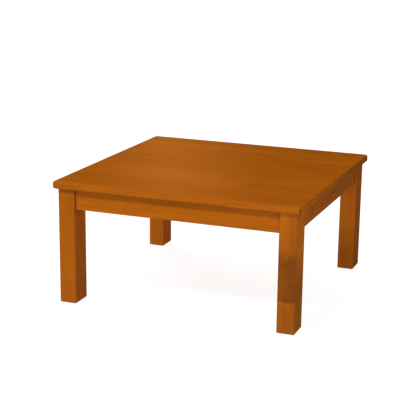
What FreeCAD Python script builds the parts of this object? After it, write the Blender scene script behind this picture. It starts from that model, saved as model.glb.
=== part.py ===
import FreeCAD, Part
import Sketcher
import math
import os
from FreeCAD import Placement, Rotation
from FreeCAD import Vector as V

# Square knock-down coffee table, millimetres.
# The origin is on the floor under the middle of the top, +Z is up and the front edge faces -Y.
# Four legs, deeper than wide, are drawn by hanger bolts into the corners of an apron
# frame.  A slanted corner block ties each pair of aprons together and carries the two bolts of
# its leg.
# The frame is screwed up into an edge-glued top from counterbores in the aprons' lower edges.

doc = FreeCAD.newDocument("square_coffee_table")

# ---------------------------------------------------------------- driving dimensions
DIMS = [
    ("top_width", 760, "side of the square top"),
    ("top_thick", 22, "thickness of the top"),
    ("top_corner", 12, "plan radius of the top's corners"),
    ("top_round_upper", 6.5, "round-over of the upper edge"),
    ("top_round_lower", 6, "round-over of the lower edge"),
    ("table_height", 375, "floor to upper face"),
    ("overhang", 14, "top's edge to the legs' outer faces"),
    ("leg_width", 53, "a leg's width, along the front"),
    ("leg_depth", 73, "a leg's depth, front to back"),
    ("leg_round", 3.5, "eased long edges of a leg"),
    ("leg_foot_chamfer", 2, "chamfer round a leg's foot"),
    ("leg_notch", 14, "flat cut on a leg's inner corner for the bolts"),
    ("apron_height", 62, "height of an apron"),
    ("apron_thick", 20, "thickness of an apron"),
    ("apron_round", 2, "eased lower edges of an apron"),
    ("setback", 8, "apron face behind the leg face"),
    ("block_thick", 24, "thickness of a corner block"),
    ("block_tall", 50, "height of a corner block"),
    ("block_gap", 5, "space left between a corner block and its leg"),
    ("bolt_radius", 4, "hanger bolt, half of 8"),
    ("bolt_pitch_z", 26, "spacing of a leg's two bolts"),
    ("bolt_in_leg", 32, "wood-threaded length in the leg"),
    ("bolt_spare", 4.5, "thread showing past the nut"),
    ("bolt_hole_radius", 4.5, "clearance hole in the block"),
    ("washer_outer", 8.5, "outer radius of a flat washer"),
    ("washer_thick", 1.6, "thickness of a flat washer"),
    ("lock_outer", 6.6, "outer radius of a spring washer"),
    ("lock_thick", 2, "thickness of a spring washer"),
    ("nut_circum", 7.5, "hexagon nut's corner radius"),
    ("nut_thick", 6.5, "thickness of a nut"),
    ("screw_radius", 2, "wood screw, half of 4"),
    ("screw_head_radius", 4, "wood screw head"),
    ("screw_head_tall", 2.6, "wood screw head's height"),
    ("block_screw_long", 24, "corner block screw under its head"),
    ("block_screw_pitch_z", 28, "spacing of a block end's two screws"),
    ("block_screw_seat", 12, "block left under a screw's head"),
    ("top_screw_long", 39, "top screw under its head"),
    ("top_screw_at", 170, "top screw from an apron's middle"),
    ("top_screw_grip", 25, "apron left over a top screw's head"),
    ("counterbore_radius", 5, "counterbore for a screw head"),
    ("shank_hole_radius", 2.3, "clearance hole for a screw"),
    ("glide_radius", 12, "foot glide"),
    ("glide_thick", 3, "foot glide's thickness"),
    ("nail_radius", 1, "glide nail"),
    ("nail_long", 14, "glide nail in the leg"),
    ("nail_head_radius", 3, "glide nail's head"),
    ("nail_head_tall", 1.2, "glide nail head's height"),
]
sheet = doc.addObject("Spreadsheet::Sheet", "Dims")
for row, (alias, value, note) in enumerate(DIMS, 1):
    sheet.set("A%d" % row, alias)
    sheet.set("B%d" % row, str(value))
    sheet.setAlias("B%d" % row, alias)
    sheet.set("C%d" % row, note)
doc.recompute()


def d(alias):
    return float(sheet.get(alias))


ROOT2 = math.sqrt(2.0)
half = d("top_width") / 2
leg_out = half - d("overhang")  # outer faces of the legs
leg_in_x = leg_out - d("leg_width")  # inner faces of the legs
leg_in_y = leg_out - d("leg_depth")
leg_mid_x = leg_out - d("leg_width") / 2
leg_mid_y = leg_out - d("leg_depth") / 2
apron_out = leg_out - d("setback")
apron_in = apron_out - d("apron_thick")
z_top_under = d("table_height") - d("top_thick")
z_apron_low = z_top_under - d("apron_height")
z_block_mid = z_apron_low + d("apron_height") / 2
notch_far = (leg_in_x + leg_in_y + d("leg_notch")) / ROOT2  # bolt flat, along the diagonal
bolt_lean = (leg_in_x - leg_in_y) / ROOT2  # bolt axes beside the corner's diagonal
block_out = notch_far - d("block_gap")
block_mid = block_out - d("block_thick") / 2
block_in = block_out - d("block_thick")
block_short = 2 * (ROOT2 * apron_in - block_out)

E_LEG_OUT = "(Dims.top_width / 2 - Dims.overhang)"
E_LEG_MID_X = "(Dims.top_width / 2 - Dims.overhang - Dims.leg_width / 2)"
E_LEG_MID_Y = "(Dims.top_width / 2 - Dims.overhang - Dims.leg_depth / 2)"
E_LEG_IN_X = "(Dims.top_width / 2 - Dims.overhang - Dims.leg_width)"
E_LEG_IN_Y = "(Dims.top_width / 2 - Dims.overhang - Dims.leg_depth)"
E_APRON_MID = "(Dims.top_width / 2 - Dims.overhang - Dims.setback - Dims.apron_thick / 2)"
E_APRON_IN = "(Dims.top_width / 2 - Dims.overhang - Dims.setback - Dims.apron_thick)"
E_UNDER = "(Dims.table_height - Dims.top_thick)"
E_BLOCK_OUT = (
    "((" + E_LEG_IN_X + " + " + E_LEG_IN_Y + " + Dims.leg_notch) / sqrt(2) - Dims.block_gap)"
)
E_BLOCK_MID = "(" + E_BLOCK_OUT + " - Dims.block_thick / 2)"

CORNERS = [  # name, turn about Z that carries the back-right corner to this one
    ("back_right", 0.0),
    ("back_left", 90.0),
    ("front_left", 180.0),
    ("front_right", 270.0),
]
SIDES = [("back", 0.0), ("left", 90.0), ("front", 180.0), ("right", 270.0)]
subparts = []


# ---------------------------------------------------------------- helpers
def new_body(label):
    body = doc.addObject("PartDesign::Body", label)
    body.Label = label
    subparts.append(body)
    return body


def origin_plane(body, role):
    return next(o for o in body.Origin.OriginFeatures if o.Role == role)


def new_sketch(body, name, role="XY_Plane"):
    sketch = body.newObject("Sketcher::SketchObject", name)
    sketch.AttachmentSupport = [(origin_plane(body, role), "")]
    sketch.MapMode = "FlatFace"
    return sketch


def centred_rectangle(sketch, wide, deep, e_wide, e_deep):
    """A rectangle about the sketch's origin, its two sizes bound to the sheet."""
    a, b = wide / 2, deep / 2
    p = [V(-a, -b, 0), V(a, -b, 0), V(a, b, 0), V(-a, b, 0)]
    sketch.addGeometry([Part.LineSegment(p[i], p[(i + 1) % 4]) for i in range(4)], False)
    for i in range(4):
        sketch.addConstraint(Sketcher.Constraint("Coincident", i, 2, (i + 1) % 4, 1))
    for i, way in enumerate(("Horizontal", "Vertical", "Horizontal")):
        sketch.addConstraint(Sketcher.Constraint(way, i))
    sketch.addConstraint(Sketcher.Constraint("Vertical", 3))
    sketch.addConstraint(Sketcher.Constraint("Symmetric", 0, 1, 2, 1, -1, 1))
    w = sketch.addConstraint(Sketcher.Constraint("DistanceX", 0, 1, 0, 2, wide))
    h = sketch.addConstraint(Sketcher.Constraint("DistanceY", 1, 1, 1, 2, deep))
    sketch.setExpression("Constraints[%d]" % w, e_wide)
    sketch.setExpression("Constraints[%d]" % h, e_deep)


def pad(body, sketch, name, e_length):
    feature = body.newObject("PartDesign::Pad", name)
    feature.Profile = sketch
    feature.setExpression("Length", e_length)
    sketch.Visibility = False
    doc.recompute()
    return feature


def edges_of(feature, wanted):
    return [
        "Edge%d" % (i + 1) for i, e in enumerate(feature.Shape.Edges) if wanted(e)
    ]


def ease(body, feature, name, wanted, e_size, kind="Fillet"):
    """Rounds or chamfers the edges of a feature that a test picks out."""
    made = body.newObject("PartDesign::" + kind, name)
    made.Base = (feature, edges_of(feature, wanted))
    made.setExpression("Radius" if kind == "Fillet" else "Size", e_size)
    doc.recompute()
    return made


def bore(body, name, start, direction, e_radius, e_length, length):
    """A round hole from start along direction, its size bound to the sheet."""
    before = body.Shape.Volume
    hole = body.newObject("PartDesign::SubtractiveCylinder", name)
    hole.setExpression("Radius", e_radius)
    hole.Height = length
    if e_length:
        hole.setExpression("Height", e_length)
    hole.Placement = Placement(start, Rotation(V(0, 0, 1), direction))
    doc.recompute()
    if not body.Shape.Volume < before - 1:
        raise RuntimeError(name + " cut nothing")
    return hole


def upright(e):
    a, b = e.Vertexes[0].Point, e.Vertexes[-1].Point
    return len(e.Vertexes) == 2 and abs(a.x - b.x) + abs(a.y - b.y) < 1e-6


def level_at(z):
    return lambda e: all(abs(v.Point.z - z) < 1e-6 for v in e.Vertexes)


def turned(angle, point):
    return Rotation(V(0, 0, 1), angle).multVec(point)


def crossed(angle):
    """True where a corner's or a side's own axes lie across the table's."""
    return angle % 180 > 45


def leg_place(angle, z):
    """The middle of the leg in a corner, at a height."""
    way = turned(angle, V(1, 1, 0))
    return V(math.copysign(leg_mid_x, way.x), math.copysign(leg_mid_y, way.y), z)


# ---------------------------------------------------------------- tabletop
top = new_body("tabletop")
s = new_sketch(top, "top_outline")
centred_rectangle(s, d("top_width"), d("top_width"), "Dims.top_width", "Dims.top_width")
f = pad(top, s, "top_panel", "Dims.top_thick")
f = ease(top, f, "top_corners", upright, "Dims.top_corner")
f = ease(top, f, "top_upper_edge", level_at(d("top_thick")), "Dims.top_round_upper")
f = ease(top, f, "top_lower_edge", level_at(0.0), "Dims.top_round_lower")
for side, angle in SIDES:
    for n, along in enumerate((-d("top_screw_at"), d("top_screw_at"))):
        bore(
            top,
            "top_pilot_%s_%d" % (side, n),
            turned(angle, V(along, apron_out - d("apron_thick") / 2, 0)),
            V(0, 0, 1),
            "Dims.screw_radius",
            "Dims.top_screw_long - Dims.top_screw_grip",
            d("top_screw_long") - d("top_screw_grip"),
        )
top.Placement = Placement(V(0, 0, z_top_under), Rotation())
top.setExpression("Placement.Base.z", E_UNDER)

# ---------------------------------------------------------------- legs
E_LEG_LONG = "Dims.table_height - Dims.top_thick - Dims.glide_thick"
leg_long = z_top_under - d("glide_thick")
for corner, angle in CORNERS:
    leg = new_body("leg_" + corner)
    s = new_sketch(leg, "leg_section_" + corner)
    wide, deep = ("leg_depth", "leg_width") if crossed(angle) else ("leg_width", "leg_depth")
    centred_rectangle(s, d(wide), d(deep), "Dims." + wide, "Dims." + deep)
    f = pad(leg, s, "leg_post_" + corner, E_LEG_LONG)
    f = ease(leg, f, "leg_edges_" + corner, upright, "Dims.leg_round")
    f = ease(leg, f, "leg_foot_" + corner, level_at(0.0), "Dims.leg_foot_chamfer", "Chamfer")
    # Bolt flat: the inner corner is cut away beside the aprons only.
    s = new_sketch(leg, "leg_flat_profile_" + corner)
    s.AttachmentOffset = Placement(V(0, 0, leg_long), Rotation())
    s.setExpression("AttachmentOffset.Base.z", E_LEG_LONG)
    a, b, c = d(wide) / 2, d(deep) / 2, d("leg_notch")
    p = [V(-a - 5, -b - 5, 0), V(-a + c + 5, -b - 5, 0), V(-a - 5, -b + c + 5, 0)]
    s.addGeometry([Part.LineSegment(p[i], p[(i + 1) % 3]) for i in range(3)], False)
    for i in range(3):
        s.addConstraint(Sketcher.Constraint("Coincident", i, 2, (i + 1) % 3, 1))
    s.addConstraint(Sketcher.Constraint("Horizontal", 0))
    s.addConstraint(Sketcher.Constraint("Vertical", 2))
    cx = s.addConstraint(Sketcher.Constraint("DistanceX", 0, 1, -1, 1, a + 5))
    cy = s.addConstraint(Sketcher.Constraint("DistanceY", 0, 1, -1, 1, b + 5))
    lx = s.addConstraint(Sketcher.Constraint("DistanceX", 0, 1, 0, 2, c + 10))
    ly = s.addConstraint(Sketcher.Constraint("DistanceY", 2, 2, 2, 1, c + 10))
    s.setExpression("Constraints[%d]" % cx, "Dims.%s / 2 + 5" % wide)
    s.setExpression("Constraints[%d]" % cy, "Dims.%s / 2 + 5" % deep)
    s.setExpression("Constraints[%d]" % lx, "Dims.leg_notch + 10")
    s.setExpression("Constraints[%d]" % ly, "Dims.leg_notch + 10")
    before = leg.Shape.Volume
    f = leg.newObject("PartDesign::Pocket", "leg_flat_" + corner)
    f.Profile = s
    f.setExpression("Length", "Dims.apron_height")
    s.Visibility = False
    doc.recompute()
    if not leg.Shape.Volume < before - 1000:
        raise RuntimeError("leg_flat cut nothing on " + corner)
    for n, side in enumerate((-1, 1)):
        z = z_block_mid - d("glide_thick") + side * d("bolt_pitch_z") / 2
        bore(
            leg,
            "leg_bolt_hole_%s_%d" % (corner, n),
            V(-a + c / 2, -b + c / 2, z),
            V(1, 1, 0),
            "Dims.bolt_radius",
            "Dims.bolt_in_leg + 1",
            d("bolt_in_leg") + 1,
        )
    bore(
        leg,
        "leg_nail_hole_" + corner,
        V(0, 0, 0),
        V(0, 0, 1),
        "Dims.nail_radius",
        "Dims.nail_long",
        d("nail_long"),
    )
    at = leg_place(angle, d("glide_thick"))
    leg.Placement = Placement(at, Rotation(V(0, 0, 1), angle))
    leg.setExpression("Placement.Base.x", ("" if at.x > 0 else "-") + E_LEG_MID_X)
    leg.setExpression("Placement.Base.y", ("" if at.y > 0 else "-") + E_LEG_MID_Y)
    leg.setExpression("Placement.Base.z", "Dims.glide_thick")

# ---------------------------------------------------------------- aprons
for side, angle in SIDES:
    apron = new_body("apron_" + side)
    s = new_sketch(apron, "apron_section_" + side)
    long, e_long = (leg_in_y, E_LEG_IN_Y) if crossed(angle) else (leg_in_x, E_LEG_IN_X)
    centred_rectangle(s, 2 * long, d("apron_thick"), "2 * " + e_long, "Dims.apron_thick")
    f = pad(apron, s, "apron_board_" + side, "Dims.apron_height")
    f = ease(
        apron,
        f,
        "apron_edges_" + side,
        lambda e: level_at(0.0)(e) and abs(e.Vertexes[0].Point.x - e.Vertexes[1].Point.x) > 1,
        "Dims.apron_round",
    )
    for n, along in enumerate((-d("top_screw_at"), d("top_screw_at"))):
        bore(
            apron,
            "apron_counterbore_%s_%d" % (side, n),
            V(along, 0, 0),
            V(0, 0, 1),
            "Dims.counterbore_radius",
            "Dims.apron_height - Dims.top_screw_grip",
            d("apron_height") - d("top_screw_grip"),
        )
        bore(
            apron,
            "apron_shank_hole_%s_%d" % (side, n),
            V(along, 0, 0),
            V(0, 0, 1),
            "Dims.shank_hole_radius",
            "Dims.apron_height",
            d("apron_height"),
        )
    # Blind holes that take the corner blocks' screws, from the inner face outwards.
    seat_in = block_in * ROOT2 - apron_in
    seat_mid = (seat_in + block_out * ROOT2 - apron_in) / 2
    for n, along in enumerate((-seat_mid, seat_mid)):
        for k, up in enumerate((-1, 1)):
            bore(
                apron,
                "apron_pilot_%s_%d%d" % (side, n, k),
                V(
                    along,
                    -d("apron_thick") / 2,
                    d("apron_height") / 2 + up * d("block_screw_pitch_z") / 2,
                ),
                V(0, 1, 0),
                "Dims.screw_radius",
                "Dims.block_screw_long - Dims.block_screw_seat",
                d("block_screw_long") - d("block_screw_seat"),
            )
    mid = apron_out - d("apron_thick") / 2
    at = turned(angle, V(0, mid, z_apron_low))
    apron.Placement = Placement(at, Rotation(V(0, 0, 1), angle))
    if abs(at.x) > 1:
        apron.setExpression("Placement.Base.x", ("" if at.x > 0 else "-") + E_APRON_MID)
    else:
        apron.setExpression("Placement.Base.y", ("" if at.y > 0 else "-") + E_APRON_MID)
    apron.setExpression("Placement.Base.z", E_UNDER + " - Dims.apron_height")

# ---------------------------------------------------------------- corner blocks
# Drawn with the diagonal along +Y: the short face looks out at the leg, and the slanted
# ends lie flat on the aprons' inner faces.
screw_turns = []  # each block screw's seat and direction, at the back-right corner
for corner, angle in CORNERS:
    block = new_body("corner_block_" + corner)
    s = new_sketch(block, "block_outline_" + corner)
    short, t = block_short, d("block_thick")
    p = [
        V(-short / 2 - t, -t / 2, 0),
        V(short / 2 + t, -t / 2, 0),
        V(short / 2, t / 2, 0),
        V(-short / 2, t / 2, 0),
    ]
    s.addGeometry([Part.LineSegment(p[i], p[(i + 1) % 4]) for i in range(4)], False)
    for i in range(4):
        s.addConstraint(Sketcher.Constraint("Coincident", i, 2, (i + 1) % 4, 1))
    s.addConstraint(Sketcher.Constraint("Symmetric", 0, 1, 0, 2, -2))
    s.addConstraint(Sketcher.Constraint("Symmetric", 2, 2, 2, 1, -2))
    w = s.addConstraint(Sketcher.Constraint("DistanceX", 0, 1, 0, 2, short + 2 * t))
    v = s.addConstraint(Sketcher.Constraint("DistanceX", 2, 2, 2, 1, short))
    h = s.addConstraint(Sketcher.Constraint("DistanceY", 0, 1, -1, 1, t / 2))
    g = s.addConstraint(Sketcher.Constraint("DistanceY", 0, 1, 2, 2, t))
    e_short = "2 * (sqrt(2) * " + E_APRON_IN + " - " + E_BLOCK_OUT + ")"
    s.setExpression("Constraints[%d]" % w, e_short + " + 2 * Dims.block_thick")
    s.setExpression("Constraints[%d]" % v, e_short)
    s.setExpression("Constraints[%d]" % h, "Dims.block_thick / 2")
    s.setExpression("Constraints[%d]" % g, "Dims.block_thick")
    f = pad(block, s, "block_blank_" + corner, "Dims.block_tall")
    f = ease(
        block,
        f,
        "block_edges_" + corner,
        lambda e: abs(e.CenterOfMass.y + t / 2) < 1e-6 and not upright(e),
        "Dims.leg_foot_chamfer / 2",
        "Chamfer",
    )
    for n, side in enumerate((-1, 1)):
        bore(
            block,
            "block_bolt_hole_%s_%d" % (corner, n),
            V(
                -bolt_lean if crossed(angle) else bolt_lean,
                -t / 2 - 1,
                d("block_tall") / 2 + side * d("bolt_pitch_z") / 2,
            ),
            V(0, 1, 0),
            "Dims.bolt_hole_radius",
            "Dims.block_thick + 2",
            t + 2,
        )
    for n, way in enumerate((-1, 1)):
        # A screw's seat on the line through the middle of the end's contact face.
        along = (block_in * ROOT2 - apron_in + block_out * ROOT2 - apron_in) / 2
        seat = V(along, apron_in - d("block_screw_seat"), 0)
        local = turned(45.0, seat) - V(0, block_mid, 0)
        out = turned(45.0, V(0, 1, 0))
        if way > 0:
            local, out = V(-local.x, local.y, 0), V(-out.x, out.y, 0)
        for k, up in enumerate((-1, 1)):
            z = d("block_tall") / 2 + up * d("block_screw_pitch_z") / 2
            start = V(local.x, local.y, z)
            bore(
                block,
                "block_counterbore_%s_%d%d" % (corner, n, k),
                start,
                out * -1,
                "Dims.counterbore_radius",
                None,
                20.0,
            )
            bore(
                block,
                "block_shank_hole_%s_%d%d" % (corner, n, k),
                start,
                out,
                "Dims.shank_hole_radius",
                "Dims.block_screw_seat + 1",
                d("block_screw_seat") + 1,
            )
            world = turned(angle - 45.0, V(start.x, start.y + block_mid, 0))
            screw_turns.append(
                (
                    V(world.x, world.y, z_block_mid + up * d("block_screw_pitch_z") / 2),
                    turned(angle - 45.0, out),
                )
            )
    at = turned(angle - 45.0, V(0, block_mid, z_block_mid - d("block_tall") / 2))
    block.Placement = Placement(at, Rotation(V(0, 0, 1), angle - 45.0))
    e_mid = E_BLOCK_MID + " / sqrt(2)"
    block.setExpression("Placement.Base.x", ("" if at.x > 0 else "-") + e_mid)
    block.setExpression("Placement.Base.y", ("" if at.y > 0 else "-") + e_mid)
    block.setExpression(
        "Placement.Base.z", E_UNDER + " - (Dims.apron_height + Dims.block_tall) / 2"
    )

# ---------------------------------------------------------------- foot glides
for corner, angle in CORNERS:
    disc = doc.addObject("Part::Cylinder", "glide_disc_" + corner)
    disc.setExpression("Radius", "Dims.glide_radius")
    disc.setExpression("Height", "Dims.glide_thick")
    doc.recompute()
    soft = doc.addObject("Part::Fillet", "glide_edge_" + corner)
    soft.Base = disc
    low = next(
        i + 1
        for i, e in enumerate(disc.Shape.Edges)
        if len(e.Vertexes) == 1 and abs(e.Vertexes[0].Point.z) < 1e-6
    )
    soft.Edges = [(low, 1.2, 1.2)]
    sink = doc.addObject("Part::Cylinder", "glide_sink_" + corner)
    sink.Radius = d("nail_head_radius") + 0.2
    sink.setExpression("Radius", "Dims.nail_head_radius + 0.2")
    sink.setExpression("Height", "Dims.nail_head_tall + 0.6")
    shaft = doc.addObject("Part::Cylinder", "glide_hole_" + corner)
    shaft.setExpression("Radius", "Dims.nail_radius + 0.1")
    shaft.setExpression("Height", "Dims.glide_thick")
    drill = doc.addObject("Part::Fuse", "glide_drill_" + corner)
    drill.Base, drill.Tool = sink, shaft
    glide = doc.addObject("Part::Cut", "foot_glide_" + corner)
    glide.Base, glide.Tool = soft, drill
    glide.Label = "foot_glide_" + corner
    at = leg_place(angle, 0)
    glide.Placement = Placement(at, Rotation())
    glide.setExpression("Placement.Base.x", ("" if at.x > 0 else "-") + E_LEG_MID_X)
    glide.setExpression("Placement.Base.y", ("" if at.y > 0 else "-") + E_LEG_MID_Y)
    doc.recompute()
    subparts.append(glide)


# ---------------------------------------------------------------- fasteners
# One pattern of each fastener stands at the origin with its axis along +Z, then a group
# of separate solids is set at the fastener's places.
def turned_solid(points):
    """A solid of revolution about Z from (radius, height) points."""
    wire = Part.makePolygon([V(r, 0, z) for r, z in points + points[:1]])
    return Part.Face(wire).revolve(V(0, 0, 0), V(0, 0, 1), 360)


def ridges(r_root, r_crest, z_from, z_to, pitch):
    """(radius, height) points of the thread's ridges between two heights."""
    count = int((z_to - z_from) / pitch)
    step = (z_to - z_from) / count
    points = []
    for i in range(count):
        z = z_from + i * step
        points += [(r_root, z), (r_crest, z + step / 2)]
    return points + [(r_root, z_to)]


def group(label, pattern, places):
    """A node of separate solids: the pattern set at each (point, direction)."""
    solids = []
    for point, direction in places:
        copy = pattern.copy()
        copy.Placement = Placement(point, Rotation(V(0, 0, 1), direction)).multiply(
            copy.Placement
        )
        solids.append(copy)
    node = doc.addObject("Part::Feature", label)
    node.Label = label
    node.Shape = Part.makeCompound(solids)
    subparts.append(node)
    return node


def diagonal_places(distance):
    """Places on the eight bolt axes, this far out along the corners' diagonals."""
    found = []
    for _, angle in CORNERS:
        out = turned(angle, V(1, 1, 0)) / ROOT2
        beside = turned(angle, V(1, -1, 0)) / ROOT2
        lean = -bolt_lean if crossed(angle) else bolt_lean
        for side in (-1, 1):
            z = z_block_mid + side * d("bolt_pitch_z") / 2
            found.append((out * distance + beside * lean + V(0, 0, z), out))
    return found


# Hanger bolt: machine thread through the block, plain collar in the gap, wood thread in the leg.
r = d("bolt_radius")
stack = d("washer_thick") + d("lock_thick") + d("nut_thick") + d("bolt_spare")
machine = stack + d("block_thick")
collar = machine + d("block_gap")
tip = collar + d("bolt_in_leg")
profile = [(0, 0), (r - 1.2, 0)]
profile += ridges(r - 0.62, r, 0.8, machine - 3, 1.25)
profile += [(r, machine - 2), (r, collar + 2)]
profile += ridges(r - 1.1, r, collar + 3, tip - 6, 3.0)
profile += [(0, tip)]
group("hanger_bolts", turned_solid(profile), diagonal_places(block_in - stack))

washer_disc = doc.addObject("Part::Cylinder", "washer_disc")
washer_disc.setExpression("Radius", "Dims.washer_outer")
washer_disc.setExpression("Height", "Dims.washer_thick")
washer_bore = doc.addObject("Part::Cylinder", "washer_bore")
washer_bore.setExpression("Radius", "Dims.bolt_radius + 0.2")
washer_bore.setExpression("Height", "Dims.washer_thick")
washer = doc.addObject("Part::Cut", "washer_pattern")
washer.Base, washer.Tool = washer_disc, washer_bore
lock_disc = doc.addObject("Part::Cylinder", "lock_disc")
lock_disc.setExpression("Radius", "Dims.lock_outer")
lock_disc.setExpression("Height", "Dims.lock_thick")
lock_bore = doc.addObject("Part::Cylinder", "lock_bore")
lock_bore.setExpression("Radius", "Dims.bolt_radius + 0.1")
lock_bore.setExpression("Height", "Dims.lock_thick")
lock_ring = doc.addObject("Part::Cut", "lock_ring")
lock_ring.Base, lock_ring.Tool = lock_disc, lock_bore
lock_slit = doc.addObject("Part::Box", "lock_slit")
lock_slit.Length, lock_slit.Width, lock_slit.Height = 8, 0.7, 8
lock_slit.Placement = Placement(V(2, -0.35, -3), Rotation(V(1, 0, 0), 25))
lock = doc.addObject("Part::Cut", "lock_pattern")
lock.Base, lock.Tool = lock_ring, lock_slit
nut_hex = doc.addObject("Part::Prism", "nut_hex")
nut_hex.Polygon = 6
nut_hex.setExpression("Circumradius", "Dims.nut_circum")
nut_hex.setExpression("Height", "Dims.nut_thick")
nut_ball = doc.addObject("Part::Cone", "nut_bevel_upper")
nut_ball.setExpression("Radius1", "Dims.nut_circum + Dims.nut_thick * 1.5")
nut_ball.setExpression("Radius2", "Dims.nut_circum * 0.9")
nut_ball.setExpression("Height", "Dims.nut_thick")
nut_upper = doc.addObject("Part::Common", "nut_bevelled")
nut_upper.Base, nut_upper.Tool = nut_hex, nut_ball
nut_bore = doc.addObject("Part::Cylinder", "nut_bore")
nut_bore.setExpression("Radius", "Dims.bolt_radius + 0.02")
nut_bore.setExpression("Height", "Dims.nut_thick")
nut = doc.addObject("Part::Cut", "nut_pattern")
nut.Base, nut.Tool = nut_upper, nut_bore
doc.recompute()
for pattern in (washer, lock, nut):
    if pattern.Shape.isNull() or not pattern.Shape.isValid():
        raise RuntimeError(pattern.Name + " is not a solid")


def inward(places):
    return [(point, direction * -1) for point, direction in places]


group("flat_washers", washer.Shape.Solids[0], inward(diagonal_places(block_in)))
group(
    "spring_washers",
    lock.Shape.Solids[0],
    inward(diagonal_places(block_in - d("washer_thick"))),
)
group(
    "hex_nuts",
    nut.Shape.Solids[0],
    inward(diagonal_places(block_in - d("washer_thick") - d("lock_thick"))),
)


def wood_screw(length):
    """A pan-head wood screw: the head stands on z = 0 below the origin, the point is at +Z."""
    r, rh, tall = d("screw_radius"), d("screw_head_radius"), d("screw_head_tall")
    points = [(0, -tall), (rh * 0.45, -tall), (rh * 0.8, -tall * 0.82)]
    points += [(rh, -tall * 0.35), (rh, 0), (r, 0), (r, length * 0.3)]
    points += ridges(r - 0.55, r, length * 0.3 + 1, length - 3.5, 1.8)
    points += [(0, length)]
    solid = turned_solid(points)
    # Cross recess in the head.
    for turn in (0, 90):
        slot = Part.makeBox(rh * 1.1, 0.9, tall * 0.62, V(-rh * 0.55, -0.45, -tall))
        slot.rotate(V(0, 0, 0), V(0, 0, 1), turn)
        solid = solid.cut(slot)
    return solid.Solids[0]


group("corner_block_screws", wood_screw(d("block_screw_long")), screw_turns)
group(
    "tabletop_screws",
    wood_screw(d("top_screw_long")),
    [
        (
            turned(angle, V(along, apron_out - d("apron_thick") / 2, 0))
            + V(0, 0, z_top_under - d("top_screw_grip")),
            V(0, 0, 1),
        )
        for _, angle in SIDES
        for along in (-d("top_screw_at"), d("top_screw_at"))
    ],
)
rn, rh, th = d("nail_radius"), d("nail_head_radius"), d("nail_head_tall")
z_head = 0.6
nail = turned_solid(
    [
        (0, z_head),
        (rh * 0.7, z_head),
        (rh, z_head + th * 0.5),
        (rh, z_head + th),
        (rn, z_head + th),
        (rn, d("glide_thick") + d("nail_long") - 3),
        (0, d("glide_thick") + d("nail_long")),
    ]
)
group(
    "glide_nails",
    nail,
    [(leg_place(angle, 0), V(0, 0, 1)) for _, angle in CORNERS],
)

# ---------------------------------------------------------------- checks and files
doc.recompute()
for obj in doc.Objects:
    if "Invalid" in obj.State or "Error" in obj.State:
        raise RuntimeError("%s is %s" % (obj.Name, obj.State))
for obj in subparts:
    if obj.Shape.isNull() or not obj.Shape.isValid() or not obj.Shape.Solids:
        raise RuntimeError(obj.Label + " is not a valid solid")
os.makedirs("parts", exist_ok=True)
for old in os.listdir("parts"):
    if old.endswith(".step"):
        os.remove(os.path.join("parts", old))
for obj in subparts:
    obj.Shape.exportStep(os.path.join("parts", obj.Label + ".step"))
    b = obj.Shape.BoundBox
    print(
        "%-28s solids %2d  volume %10.0f  x %7.1f %7.1f  y %7.1f %7.1f  z %6.1f %6.1f"
        % (obj.Label, len(obj.Shape.Solids), obj.Shape.Volume, b.XMin, b.XMax, b.YMin, b.YMax, b.ZMin, b.ZMax)
    )
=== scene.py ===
import math

import bpy
from mathutils import Matrix, Vector

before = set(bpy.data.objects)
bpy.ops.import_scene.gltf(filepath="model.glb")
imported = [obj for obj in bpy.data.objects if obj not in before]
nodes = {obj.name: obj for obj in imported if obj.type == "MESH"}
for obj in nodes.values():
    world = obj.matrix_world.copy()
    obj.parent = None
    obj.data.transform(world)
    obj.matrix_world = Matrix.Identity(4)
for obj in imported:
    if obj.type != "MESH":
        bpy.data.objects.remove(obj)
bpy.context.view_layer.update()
scene = bpy.context.scene
scene.view_settings.view_transform = "Standard"
scene.view_settings.look = "None"

# ------------------------------------------------------------------ camera
# Fitted to the corners of the top, the legs and the aprons in the picture, with no shift.
YAW, PITCH, ROLL = math.radians(20.8155), math.radians(14.7803), math.radians(0.7862)
FOCAL_PX, FRAME_PX = 1164.90, 420.0
forward = Vector(
    (-math.sin(YAW) * math.cos(PITCH), math.cos(YAW) * math.cos(PITCH), -math.sin(PITCH))
)
level = Vector((math.cos(YAW), math.sin(YAW), 0.0))
above = level.cross(forward)
right = math.cos(ROLL) * level + math.sin(ROLL) * above
upward = -math.sin(ROLL) * level + math.cos(ROLL) * above
camera = bpy.data.objects.new("camera", bpy.data.cameras.new("camera"))
scene.collection.objects.link(camera)
camera.data.sensor_fit = "HORIZONTAL"
camera.data.sensor_width = 36.0
camera.data.lens = FOCAL_PX / FRAME_PX * 36.0
camera.data.clip_end = 200.0
camera.matrix_world = Matrix(
    (
        (right.x, upward.x, -forward.x, 1.22677),
        (right.y, upward.y, -forward.y, -3.30178),
        (right.z, upward.z, -forward.z, 1.16628),
        (0.0, 0.0, 0.0, 1.0),
    )
)
scene.camera = camera


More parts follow.
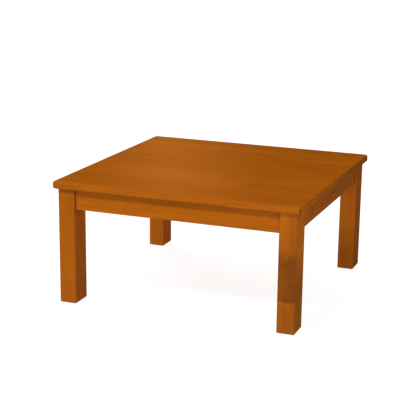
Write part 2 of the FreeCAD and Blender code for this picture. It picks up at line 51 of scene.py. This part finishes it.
# ------------------------------------------------------------------ node graphs
class Graph:
    """A small helper that builds a shader tree from function calls."""

    def __init__(self, tree):
        self.tree = tree
        tree.nodes.clear()

    def node(self, kind, **settings):
        made = self.tree.nodes.new(kind)
        for key, value in settings.items():
            setattr(made, key, value)
        return made

    def put(self, socket, value):
        if value is None:
            return
        if isinstance(value, bpy.types.NodeSocket):
            self.tree.links.new(value, socket)
        else:
            socket.default_value = value

    def math(self, op, a, b=None, c=None, clamp=False):
        n = self.node("ShaderNodeMath", operation=op, use_clamp=clamp)
        for i, v in enumerate((a, b, c)):
            self.put(n.inputs[i], v)
        return n.outputs[0]

    def add(self, a, b):
        return self.math("ADD", a, b)

    def sub(self, a, b):
        return self.math("SUBTRACT", a, b)

    def mul(self, a, b):
        return self.math("MULTIPLY", a, b)

    def madd(self, a, b, c):
        return self.math("MULTIPLY_ADD", a, b, c)

    def span(self, value, lo, hi, to_lo=0.0, to_hi=1.0, smooth=True):
        n = self.node(
            "ShaderNodeMapRange", interpolation_type="SMOOTHSTEP" if smooth else "LINEAR"
        )
        for i, v in enumerate((value, lo, hi, to_lo, to_hi)):
            self.put(n.inputs[i], v)
        return n.outputs[0]

    def split(self, vector):
        n = self.node("ShaderNodeSeparateXYZ")
        self.put(n.inputs[0], vector)
        return n.outputs

    def join(self, x, y, z):
        n = self.node("ShaderNodeCombineXYZ")
        for i, v in enumerate((x, y, z)):
            self.put(n.inputs[i], v)
        return n.outputs[0]

    def noise(self, vector, detail=2.0, rough=0.5, distort=0.0, scale=1.0):
        n = self.node("ShaderNodeTexNoise", noise_dimensions="3D")
        self.put(n.inputs["Vector"], vector)
        n.inputs["Scale"].default_value = scale
        n.inputs["Detail"].default_value = detail
        n.inputs["Roughness"].default_value = rough
        n.inputs["Distortion"].default_value = distort
        return n.outputs["Fac"]

    def white(self, vector):
        n = self.node("ShaderNodeTexWhiteNoise", noise_dimensions="3D")
        self.put(n.inputs["Vector"], vector)
        return n.outputs["Value"], n.outputs["Color"]

    def ramp(self, fac, stops, how="LINEAR"):
        n = self.node("ShaderNodeValToRGB")
        n.color_ramp.interpolation = how
        marks = n.color_ramp.elements
        while len(marks) > 1:
            marks.remove(marks[-1])
        for number, (place, colour) in enumerate(stops):
            mark = marks.new(place) if number else marks[0]
            mark.position = place
            if not isinstance(colour, tuple):
                colour = (colour, colour, colour)
            mark.color = (*colour, 1.0)
        self.put(n.inputs[0], fac)
        return n.outputs[0]

    def mix(self, fac, a, b, blend="MIX"):
        n = self.node("ShaderNodeMix", data_type="RGBA", blend_type=blend)
        self.put(n.inputs[0], fac)
        for socket, value in ((n.inputs[6], a), (n.inputs[7], b)):
            if isinstance(value, tuple) and len(value) == 3:
                value = (*value, 1.0)
            self.put(socket, value)
        return n.outputs[2]

    def grey(self, value):
        """The same value on all three colour channels."""
        n = self.node("ShaderNodeCombineColor")
        for i in range(3):
            self.put(n.inputs[i], value)
        return n.outputs[0]


def new_material(name):
    material = bpy.data.materials.new(name)
    material.use_nodes = True
    return material, Graph(material.node_tree)


def finish_surface(g, colour, rough, height, **sockets):
    """A principled surface with a bump, written to the material's output."""
    shader = g.node("ShaderNodeBsdfPrincipled")
    out = g.node("ShaderNodeOutputMaterial")
    g.put(shader.inputs["Base Color"], colour)
    g.put(shader.inputs["Roughness"], rough)
    for key, value in sockets.items():
        shader.inputs[key.replace("_", " ")].default_value = value
    if height is not None:
        bump = g.node("ShaderNodeBump")
        bump.inputs["Strength"].default_value = 1.0
        bump.inputs["Distance"].default_value = 1.0
        g.put(bump.inputs["Height"], height)
        g.put(shader.inputs["Normal"], bump.outputs[0])
    g.put(out.inputs["Surface"], shader.outputs[0])


# ------------------------------------------------------------------ stained wood
GRAIN = {"x": (0, 1, 2), "y": (1, 0, 2), "z": (2, 0, 1)}


def leg_tones_and_painted_light(g, place, across, seed, stops, side, figure):
    """Wood tone of the lengths that a leg is joined from, by height, together with painted light and
    shade.

    The meeting lines waver a little near the foot and drift into the grain higher up.  side gives
    other stops for the faces across, where the wood is cut the other way; these are mostly painted
    light and shade, which make those faces lighter or darker than the light on them.  figure is the
    point and the slope of a dark streak that crosses the leg, or None.  Where there is a figure, the
    wood also darkens from the left face to the right one.
    """
    x, y, z = place
    wave = g.noise(g.join(g.madd(x, 58.0, seed), g.mul(y, 58.0), seed), 1.0)
    loose = g.noise(g.join(g.madd(x, 48.0, seed), g.mul(y, 48.0), g.mul(z, 15.0)), 3.0, 0.6)
    drift = g.span(z, 0.12, 0.23, 0.004, 0.040)
    at = g.madd(g.sub(wave, 0.5), 0.020, z)
    at = g.madd(g.sub(loose, 0.5), drift, at)
    at = g.math("DIVIDE", at, 0.37)
    shade = g.ramp(at, [(h / 0.37, t) for h, t in stops])
    if side:
        other = g.ramp(at, [(h / 0.37, t) for h, t in side])
        shade = g.mix(g.span(across, 0.66, 0.98), shade, other)
    parts = g.node("ShaderNodeSeparateColor")
    g.put(parts.inputs[0], shade)
    inside = g.span(parts.outputs[0], 0.66, 0.92, 1.0, 0.0)
    mottle = g.noise(g.join(g.madd(x, 34.0, seed), g.mul(y, 34.0), g.mul(z, 16.0)), 2.0, 0.5, 0.8)
    mottle = g.span(mottle, 0.30, 0.70, 1.07, 0.90)
    if figure:
        px, py, pz, slope = figure
        off = g.sub(z, g.madd(g.sub(x, px), slope, g.madd(g.sub(y, py), slope, pz)))
        off = g.madd(g.sub(loose, 0.5), 0.030, off)
        mottle = g.mul(mottle, g.span(g.math("ABSOLUTE", off), 0.0, 0.018, 0.86, 1.0))
        fade = g.span(x, px - 0.0265, px + 0.0265, 1.06, 0.90, smooth=False)
        fade = g.math("MAXIMUM", fade, g.span(across, 0.66, 0.98, 0.0, 1.0))
        shade = g.mix(1.0, shade, g.grey(fade), "MULTIPLY")
    return g.mix(inside, shade, g.mix(1.0, shade, g.grey(mottle), "MULTIPLY"))


def stained_wood(
    name, along, seed, stave=None, length=0.45, tones_and_painted_light=None, side=None, figure=None,
    tone=1.0, vary=0.11, painted_rims=(), dark_corner_spot=None
):
    """Hardwood under a honey-brown stain and a clear satin lacquer.

    along is the grain's axis. stave is the width of the glued strips, counted along the second
    axis of GRAIN, and length is how long the pieces in a strip are. tones_and_painted_light, side and
    figure are for a leg, see leg_tones_and_painted_light. vary is how far the pieces differ.
    painted_rims gives painted light and shade on a panel's sawn ends and then on its long edges,
    which make them lighter or darker along their length, each as (place along the edge, tone) stops.
    dark_corner_spot is a corner whose rounding carries a small dark mark.
    """
    material, g = new_material(name)
    coords = g.node("ShaderNodeTexCoord")
    place = g.split(coords.outputs["Object"])
    turn = g.split(coords.outputs["Normal"])
    u, v, w = (place[i] for i in GRAIN[along])
    nu, nv, nw = (g.math("ABSOLUTE", turn[i]) for i in GRAIN[along])

    # Lengths of wood: a strip number, a number along the strip, and random values for each.
    if stave:
        warp = g.noise(g.join(g.mul(v, 3.1), seed, 0.5), 0.0)
        strip_at = g.math("DIVIDE", g.add(g.madd(warp, 0.02, v), 1.0 + 0.017 * seed), stave)
        strip = g.math("FLOOR", strip_at)
        lucky, _ = g.white(g.join(strip, seed, 3.7))
        piece_at = g.math("DIVIDE", g.add(g.madd(lucky, length, u), 2.0), length)
        piece = g.math("FLOOR", piece_at)
        value, colour = g.white(g.join(strip, piece, seed))
        edge_v = g.math("PINGPONG", strip_at, 0.5)
        seam = g.span(edge_v, 0.0, 0.0005 / stave, 0.8, 0.0)
        edge_u = g.math("PINGPONG", piece_at, 0.5)
        seam = g.math("MAXIMUM", seam, g.span(edge_u, 0.0, 0.0005 / length, 0.6, 0.0))
    else:
        piece_at = g.math("DIVIDE", g.add(u, 2.0 + 0.13 * seed), length)
        piece = g.math("FLOOR", piece_at)
        value, colour = g.white(g.join(piece, seed, 1.3))
        edge_u = g.math("PINGPONG", piece_at, 0.5)
        seam = g.span(edge_u, 0.0, 0.0005 / length, 0.4, 0.0)
    rnd = g.node("ShaderNodeSeparateColor")
    g.put(rnd.inputs[0], colour)
    ra, rb, rc = rnd.outputs

    # Growth rings about a pith line that lies somewhere beside each length of wood.
    shift = g.mul(value, 40.0)
    slow = g.noise(g.join(g.madd(u, 2.2, shift), g.mul(v, 7.0), g.mul(w, 7.0)), 2.0, 0.5)
    wobble = g.mul(g.sub(slow, 0.5), 0.030)
    pv = g.add(g.sub(v, g.madd(ra, 0.30, -0.15)), wobble)
    pw = g.add(g.sub(w, g.madd(rb, 0.10, 0.36 if along != "z" else 0.02)), g.mul(wobble, 0.6))
    pv = g.madd(u, g.madd(rc, 0.05, -0.025), pv)
    radius = g.math("SQRT", g.add(g.mul(pv, pv), g.mul(pw, pw)))
    fine = g.noise(g.join(g.madd(u, 5.0, shift), g.mul(v, 160.0), g.mul(w, 160.0)), 4.0, 0.62)
    ring = g.math("FRACT", g.add(g.mul(radius, 190.0), g.mul(fine, 0.70)))
    late = g.mul(g.span(ring, 0.20, 0.86, 0.0, 1.0), g.span(ring, 0.88, 1.0, 1.0, 0.0))

    # Fibre streaks, broad clouds of stain and open pores, all drawn out along the grain.
    bend = g.mul(g.sub(slow, 0.5), 1.6)
    streak = g.join(g.madd(u, 3.4, shift), g.madd(v, 62.0, bend), g.madd(w, 62.0, bend))
    streak = g.noise(streak, 5.0, 0.68, 0.35)
    cloud = g.noise(g.join(g.madd(u, 3.2, shift), g.mul(v, 18.0), g.mul(w, 18.0)), 3.0, 0.55, 0.4)
    pore = g.noise(g.join(g.madd(u, 70.0, shift), g.mul(v, 1150.0), g.mul(w, 1150.0)), 1.0, 0.5)
    pore = g.span(pore, 0.60, 0.72)

    # Colour: from a clear honey to a deep red-brown.
    depth = g.mul(late, 0.09)
    depth = g.add(depth, g.mul(g.sub(streak, 0.5), 0.42))
    depth = g.add(depth, g.mul(g.sub(cloud, 0.5), 0.34))
    depth = g.add(depth, g.madd(value, vary, 0.405 - vary / 2))
    stain = g.ramp(
        depth,
        [
            (0.00, (0.560, 0.166, 0.0040)),
            (0.30, (0.475, 0.128, 0.0020)),
            (0.50, (0.405, 0.103, 0.0014)),
            (0.75, (0.320, 0.077, 0.0012)),
            (1.00, (0.225, 0.047, 0.0012)),
        ],
    )
    # For a leg, the colour multipliers by height hold the wood's own tone together with painted light and
    # shade.
    if tones_and_painted_light:
        shade = leg_tones_and_painted_light(g, place, nv, seed, tones_and_painted_light, side, figure)
        stain = g.mix(1.0, stain, shade, "MULTIPLY")
    elif tone != 1.0:
        stain = g.mix(1.0, stain, (tone, tone, tone), "MULTIPLY")
    # End grain drinks more stain, pores and seams hold it.
    ends = g.span(nu, 0.72, 0.97)
    # Painted light and shade: the edges of a panel are made lighter or darker along their length, by the
    # stops given.
    for facing, at, stops in zip((nu, nv), (v, u), painted_rims):
        painted_rim = g.ramp(g.add(at, 0.5), [(h + 0.5, t) for h, t in stops])
        painted_rim = g.mix(1.0, stain, painted_rim, "MULTIPLY")
        stain = g.mix(g.span(facing, 0.55, 0.96), stain, painted_rim)
    # A small dark mark on the rounding of one corner.
    if dark_corner_spot:
        away = [g.sub(place[i], dark_corner_spot[i]) for i in (0, 1)]
        away = g.madd(away[0], away[0], g.mul(away[1], away[1]))
        corner_spot = g.mul(g.span(nu, 0.30, 0.66), g.span(nv, 0.36, 0.72))
        corner_spot = g.mul(corner_spot, g.span(w, 0.354, 0.363))
        corner_spot = g.mul(corner_spot, g.span(away, 0.0003, 0.0006, 1.0, 0.0))
        stain = g.mix(corner_spot, stain, g.mix(1.0, stain, (0.45, 0.30, 0.25), "MULTIPLY"))
    stain = g.mix(g.mul(ends, 0.03), stain, (0.15, 0.030, 0.0035))
    stain = g.mix(g.mul(pore, 0.22), stain, (0.10, 0.020, 0.003))
    stain = g.mix(g.mul(seam, 0.22), stain, (0.10, 0.022, 0.003))
    # Rounded edges take up a little more stain, and are rubbed paler again in patches.
    flat = g.math("MAXIMUM", nu, g.math("MAXIMUM", nv, nw))
    arris = g.span(flat, 0.80, 0.985, 1.0, 0.0)
    rub = g.noise(g.join(g.mul(place[0], 22.0), g.mul(place[1], 22.0), g.mul(place[2], 22.0)), 3.0, 0.6)
    rub = g.mul(arris, g.span(rub, 0.35, 0.75))
    stain = g.mix(g.mul(arris, 0.13), stain, (0.0, 0.0, 0.0))
    stain = g.mix(g.mul(rub, 0.06), stain, (0.60, 0.210, 0.022))
    # Painted shade: ambient occlusion darkens the inner corners, the joints between parts and the wood
    # just under the top.
    hide = g.node("ShaderNodeAmbientOcclusion", samples=6)
    hide.inputs["Distance"].default_value = 0.012
    corner_shade = g.span(hide.outputs["AO"], 0.35, 0.85, 1.0, 0.0)
    stain = g.mix(g.mul(corner_shade, 0.35), stain, (0.045, 0.010, 0.0015))

    smear = g.noise(g.join(g.mul(place[0], 6.0), g.mul(place[1], 6.0), g.mul(place[2], 6.0)), 4.0, 0.6)
    rough = g.add(g.madd(streak, 0.12, 0.34), g.madd(smear, 0.12, g.mul(pore, 0.15)))
    rough = g.add(rough, g.madd(rub, -0.06, g.mul(ends, 0.10)))
    height = g.madd(fine, 0.000035, g.mul(pore, -0.00006))
    height = g.add(height, g.madd(streak, 0.00004, g.mul(seam, -0.00010)))
    peel = g.noise(g.join(g.mul(place[0], 260.0), g.mul(place[1], 260.0), g.mul(place[2], 260.0)), 1.0)
    height = g.madd(peel, 0.00002, height)
    finish_surface(
        g,
        stain,
        rough,
        height,
        Specular_IOR_Level=0.04,
        Coat_Weight=0.5,
        Coat_Roughness=0.14,
        Coat_IOR=1.45,
    )
    return material


def bare_wood(name):
    """Planed pale hardwood without finish, for the blocks out of sight."""
    material, g = new_material(name)
    coords = g.node("ShaderNodeTexCoord")
    place = g.split(coords.outputs["Object"])
    # The blocks lie across the corners, so their grain runs along one of two diagonals.
    x, y, z = place
    side = g.math("SIGN", g.mul(x, y))
    u = g.sub(x, g.mul(side, y))
    v = g.add(x, g.mul(side, y))
    streak = g.noise(g.join(g.mul(u, 3.0), g.mul(v, 75.0), g.mul(z, 75.0)), 5.0, 0.65, 0.3)
    cloud = g.noise(g.join(g.mul(u, 5.0), g.mul(v, 18.0), g.mul(z, 18.0)), 3.0, 0.5, 0.4)
    pore = g.noise(g.join(g.mul(u, 60.0), g.mul(v, 950.0), g.mul(z, 950.0)), 1.0)
    pore = g.span(pore, 0.58, 0.70)
    depth = g.add(g.mul(streak, 0.65), g.mul(cloud, 0.45))
    colour = g.ramp(
        depth,
        [
            (0.25, (0.68, 0.47, 0.27)),
            (0.55, (0.56, 0.36, 0.19)),
            (0.85, (0.43, 0.25, 0.12)),
        ],
    )
    colour = g.mix(g.mul(pore, 0.45), colour, (0.20, 0.11, 0.05))
    saw = g.noise(g.join(g.mul(u, 8.0), g.mul(v, 8.0), g.mul(z, 420.0)), 2.0)
    # Painted shade: ambient occlusion darkens the inner corners.
    hide = g.node("ShaderNodeAmbientOcclusion", samples=6)
    hide.inputs["Distance"].default_value = 0.012
    corner_shade = g.span(hide.outputs["AO"], 0.35, 0.85, 1.0, 0.0)
    colour = g.mix(g.mul(corner_shade, 0.40), colour, (0.10, 0.06, 0.035))
    rough = g.madd(streak, 0.2, 0.55)
    height = g.madd(saw, 0.00008, g.madd(streak, 0.00008, g.mul(pore, -0.0001)))
    finish_surface(g, colour, rough, height, Specular_IOR_Level=0.25)
    return material


def zinc_steel(name):
    """Bright zinc plating with faint yellow and grey blooms."""
    material, g = new_material(name)
    coords = g.node("ShaderNodeTexCoord")
    place = coords.outputs["Object"]
    x, y, z = g.split(place)
    bloom = g.noise(g.join(g.mul(x, 190.0), g.mul(y, 190.0), g.mul(z, 190.0)), 4.0, 0.6)
    grit = g.noise(g.join(g.mul(x, 1800.0), g.mul(y, 1800.0), g.mul(z, 1800.0)), 2.0)
    colour = g.ramp(
        bloom,
        [
            (0.30, (0.50, 0.52, 0.55)),
            (0.52, (0.62, 0.63, 0.63)),
            (0.72, (0.60, 0.56, 0.45)),
        ],
    )
    # Painted shade: ambient occlusion darkens the crevices between the parts.
    hide = g.node("ShaderNodeAmbientOcclusion", samples=6)
    hide.inputs["Distance"].default_value = 0.0015
    corner_shade = g.span(hide.outputs["AO"], 0.30, 0.85, 1.0, 0.0)
    colour = g.mix(g.mul(corner_shade, 0.6), colour, (0.10, 0.095, 0.09))
    rough = g.madd(bloom, 0.22, g.madd(grit, 0.10, 0.18))
    finish_surface(g, colour, rough, g.mul(grit, 0.00001), Metallic=1.0)
    return material


def glide_plastic(name):
    """Dark brown moulded nylon, scuffed underneath."""
    material, g = new_material(name)
    coords = g.node("ShaderNodeTexCoord")
    x, y, z = g.split(coords.outputs["Object"])
    grain = g.noise(g.join(g.mul(x, 900.0), g.mul(y, 900.0), g.mul(z, 900.0)), 2.0)
    scuff = g.noise(g.join(g.mul(x, 60.0), g.mul(y, 420.0), g.mul(z, 60.0)), 4.0, 0.7)
    colour = g.ramp(
        grain, [(0.3, (0.070, 0.048, 0.034)), (0.7, (0.105, 0.074, 0.052))]
    )
    down = g.span(z, 0.0, 0.0006, 1.0, 0.0)
    worn = g.mul(down, g.span(scuff, 0.45, 0.70))
    colour = g.mix(g.mul(worn, 0.5), colour, (0.26, 0.22, 0.18))
    rough = g.madd(worn, 0.2, g.madd(grain, 0.15, 0.42))
    finish_surface(g, colour, rough, g.mul(grain, 0.00002), Specular_IOR_Level=0.4)
    return material


def dress(node, material):
    piece = nodes[node]
    piece.data.materials.clear()
    piece.data.materials.append(material)


dress(
    "tabletop",
    stained_wood(
        "stained_top",
        "x",
        4.0,
        stave=0.066,
        length=0.52,
        vary=0.15,
        tone=0.97,
        # Painted light and shade: the top's sawn ends come out lighter towards the front and darker
        # towards the back, and its long edges darker towards the left end.
        painted_rims=(
            [(-0.38, 1.40), (-0.33, 1.32), (-0.20, 1.14), (0.00, 1.02), (0.15, 0.94), (0.38, 0.78)],
            [(-0.38, 0.88), (-0.31, 0.91), (-0.23, 1.00), (0.38, 1.03)],
        ),
        # A small dark mark on the rounding of the front right corner.
        dark_corner_spot=(0.38, -0.38),
    ),
)
DARK = (0.57, 0.59, 2.0)
# Colour multipliers by height for the front and back faces of each leg. The dark stretch low on the front
# right leg is a darker length of wood; the rest is painted light and shade: the front right leg lighter
# just under the top, the front left leg darker towards its top, the back left leg lighter all over, and
# the back right leg lighter in its middle than at its foot and top.
LEG_TONES_AND_PAINTED_LIGHT = {
    "front_right": [
        (0.000, (0.84, 0.84, 2.0)),
        (0.086, (0.83, 0.84, 2.0)),
        (0.0945, (0.92, 0.93, 2.0)),
        (0.1005, (0.52, 0.53, 1.8)),
        (0.113, DARK),
        (0.150, (0.59, 0.61, 2.0)),
        (0.190, (0.57, 0.59, 2.0)),
        (0.218, (0.61, 0.63, 2.0)),
        (0.250, (0.86, 0.87, 2.0)),
        (0.300, (0.98, 1.00, 2.0)),
        (0.330, (1.01, 1.04, 2.0)),
        (0.340, (1.08, 1.14, 2.2)),
        (0.350, (1.36, 1.40, 2.4)),
    ],
    "front_left": [(0.0, 0.98), (0.120, 0.975), (0.210, 0.945), (0.260, 0.90), (0.300, 0.86)],
    "back_left": [(0.0, 1.31), (0.150, 1.35), (0.300, 1.33)],
    "back_right": [
        (0.000, 0.88),
        (0.050, 0.92),
        (0.090, 1.03),
        (0.130, 1.12),
        (0.205, 1.14),
        (0.245, 1.12),
        (0.290, 0.98),
    ],
}
# Colour multipliers by height for the faces across each leg, mostly painted light and shade: the front
# right leg's side lighter in its upper part, and a painted shadow across the front left leg's side just
# under the apron. The front right leg's dark length of wood carries on round its side.
LEG_SIDE_TONES_AND_PAINTED_LIGHT = {
    "front_right": [
        (0.000, (0.97, 1.14, 2.2)),
        (0.090, (0.91, 1.06, 2.2)),
        (0.120, (0.82, 0.94, 2.0)),
        (0.150, (0.98, 1.09, 1.9)),
        (0.210, (1.20, 1.31, 1.9)),
        (0.240, (1.50, 1.56, 1.6)),
        (0.270, (1.42, 1.47, 1.5)),
        (0.300, (1.36, 1.40, 1.5)),
    ],
    "front_left": [(0.0, 0.94), (0.130, 0.97), (0.213, 1.05), (0.265, 1.15), (0.276, 0.95), (0.284, 0.70)],
    "back_left": [(0.0, (1.03, 0.86, 0.5)), (0.300, (1.03, 0.86, 0.5))],
    "back_right": [
        (0.000, (0.78, 0.74, 0.5)),
        (0.088, (0.90, 0.83, 0.5)),
        (0.205, (0.90, 0.77, 0.5)),
        (0.245, (0.91, 0.75, 0.5)),
        (0.284, (0.95, 0.78, 0.5)),
    ],
}
for number, (corner, tones_and_painted_light) in enumerate(LEG_TONES_AND_PAINTED_LIGHT.items()):
    dress(
        "leg_" + corner,
        stained_wood(
            "stained_leg_" + corner,
            "z",
            11.0 + 7.0 * number,
            length=0.21,
            tones_and_painted_light=tones_and_painted_light,
            side=LEG_SIDE_TONES_AND_PAINTED_LIGHT.get(corner),
            figure=(0.3395, -0.366, 0.208, 0.75) if corner == "front_right" else None,
        ),
    )
# Painted light: the right apron's long faces are made lighter towards the front end; its ends keep their
# tone.
APRON_PAINTED_RIMS = (
    [(-0.38, 1.0), (0.38, 1.0)],
    [(-0.38, 1.22), (-0.24, 1.18), (-0.13, 1.03), (-0.03, 0.97), (0.38, 0.95)],
)
for number, side in enumerate(("front", "back", "left", "right")):
    dress(
        "apron_" + side,
        stained_wood(
            "stained_apron_" + side,
            "x" if side in ("front", "back") else "y",
            41.0 + 5.0 * number,
            length=1.30,
            tone=1.05,
            painted_rims=APRON_PAINTED_RIMS if side == "right" else (),
        ),
    )
pale = bare_wood("bare_hardwood")
zinc = zinc_steel("zinc_plating")
nylon = glide_plastic("brown_nylon")
for corner in LEG_TONES_AND_PAINTED_LIGHT:
    dress("corner_block_" + corner, pale)
    dress("foot_glide_" + corner, nylon)
for node in (
    "hanger_bolts",
    "flat_washers",
    "spring_washers",
    "hex_nuts",
    "corner_block_screws",
    "tabletop_screws",
    "glide_nails",
):
    dress(node, zinc)


# ------------------------------------------------------------------ stage and light
FLOOR_SEEN, FLOOR_GLOW, FLOOR_GLOSS = 0.89, 0.60, 0.006


def plain_floor():
    """A pale floor that the camera sees nearly white, and that throws back less light."""
    mesh = bpy.data.meshes.new("floor")
    mesh.from_pydata(
        [(-60, -60, 0), (60, -60, 0), (60, 60, 0), (-60, 60, 0)], [], [(0, 1, 2, 3)]
    )
    floor = bpy.data.objects.new("floor", mesh)
    scene.collection.objects.link(floor)
    material, g = new_material("pale_floor")
    coords = g.node("ShaderNodeTexCoord")
    x, y, z = g.split(coords.outputs["Object"])
    mottle = g.noise(g.join(g.mul(x, 3.0), g.mul(y, 3.0), 0.0), 3.0)
    colour = g.ramp(mottle, [(0.3, (0.250, 0.250, 0.250)), (0.7, (0.265, 0.265, 0.265))])
    shade = g.node("ShaderNodeBsdfDiffuse")
    g.put(shade.inputs["Color"], colour)
    seen = g.node("ShaderNodeLightPath")
    glow = g.node("ShaderNodeEmission")
    glow.inputs["Color"].default_value = (1.0, 1.0, 1.0, 1.0)
    level = g.madd(seen.outputs["Is Camera Ray"], FLOOR_SEEN - FLOOR_GLOW, FLOOR_GLOW)
    g.put(glow.inputs["Strength"], g.madd(seen.outputs["Is Glossy Ray"], FLOOR_GLOSS - FLOOR_GLOW, level))
    dim = g.node("ShaderNodeMixShader")
    g.put(dim.inputs[0], g.mul(seen.outputs["Is Glossy Ray"], 0.96))
    g.put(dim.inputs[1], shade.outputs[0])
    both = g.node("ShaderNodeAddShader")
    g.put(both.inputs[0], dim.outputs[0])
    g.put(both.inputs[1], glow.outputs[0])
    # Seen from below, the floor is clear, so that the underside can be looked at.
    under = g.node("ShaderNodeNewGeometry")
    clear = g.node("ShaderNodeBsdfTransparent")
    pick = g.node("ShaderNodeMixShader")
    g.put(pick.inputs[0], under.outputs["Backfacing"])
    g.put(pick.inputs[1], both.outputs[0])
    g.put(pick.inputs[2], clear.outputs[0])
    out = g.node("ShaderNodeOutputMaterial")
    g.put(out.inputs["Surface"], pick.outputs[0])
    material.cycles.emission_sampling = "NONE"
    mesh.materials.append(material)


def soft_light(name, place, target, wide, tall, power, colour=(1.0, 1.0, 1.0)):
    data = bpy.data.lights.new(name, "AREA")
    data.shape = "RECTANGLE"
    data.size, data.size_y = wide, tall
    data.energy = power
    data.color = colour
    lamp = bpy.data.objects.new(name, data)
    scene.collection.objects.link(lamp)
    lamp.location = place
    aim = Vector(target) - Vector(place)
    lamp.rotation_mode = "QUATERNION"
    lamp.rotation_quaternion = aim.to_track_quat("-Z", "Y")
    return lamp


plain_floor()
world = bpy.data.worlds.new("studio")
scene.world = world
world.use_nodes = True
world.cycles.sampling_method = "NONE"
g = Graph(world.node_tree)
coords = g.node("ShaderNodeTexCoord")
_, _, rise = g.split(coords.outputs["Generated"])
seen = g.node("ShaderNodeLightPath")
dome = g.node("ShaderNodeBackground")
g.put(dome.inputs["Color"], g.ramp(rise, [(0.0, 0.03), (0.35, 0.05), (0.75, 1.0), (1.0, 1.0)]))
dome.inputs["Strength"].default_value = 0.80
mirror = g.node("ShaderNodeBackground")
g.put(mirror.inputs["Color"], g.ramp(rise, [(0.0, 0.003), (0.60, 0.006), (0.95, 0.3), (1.0, 0.3)]))
mirror.inputs["Strength"].default_value = 0.80
plain = g.node("ShaderNodeBackground")
plain.inputs["Color"].default_value = (1.0, 1.0, 1.0, 1.0)
plain.inputs["Strength"].default_value = 1.0
gloss = g.node("ShaderNodeMixShader")
g.put(gloss.inputs[0], seen.outputs["Is Glossy Ray"])
g.put(gloss.inputs[1], dome.outputs[0])
g.put(gloss.inputs[2], mirror.outputs[0])
pick = g.node("ShaderNodeMixShader")
g.put(pick.inputs[0], seen.outputs["Is Camera Ray"])
g.put(pick.inputs[1], gloss.outputs[0])
g.put(pick.inputs[2], plain.outputs[0])
out = g.node("ShaderNodeOutputWorld")
g.put(out.inputs["Surface"], pick.outputs[0])

# Key from the front, high and a little to the left; a low wide fill from far off on the right;
# a weak light from behind on the left for the faces turned away; and dim warm panels standing
# one before the other behind on the left, whose reflection lies on the top and fades to its
# sides.
key = soft_light("key", (-0.60, -3.38, 3.77), (0.0, 0.0, 0.25), 0.30, 0.30, 112.0, (1.0, 0.98, 0.95))
key.visible_glossy = False
soft_light("fill", (3.6, -7.0, 0.9), (0.0, 0.0, 0.2), 3.0, 1.0, 100.0)
back = soft_light("back", (-2.9, 2.9, 2.85), (0.0, 0.0, 0.2), 1.6, 1.6, 74.0)
back.visible_glossy = False
for number, wide in enumerate((0.18, 0.36, 0.56, 0.76, 0.98)):
    panel = soft_light(
        "panel_%d" % number,
        (-1.27, 2.6 + 0.02 * number, 1.45),
        (-1.27, 0.0, 1.45),
        wide,
        1.5,
        0.52 * wide,
        (1.0, 0.36, 0.09),
    )
    panel.visible_camera = False
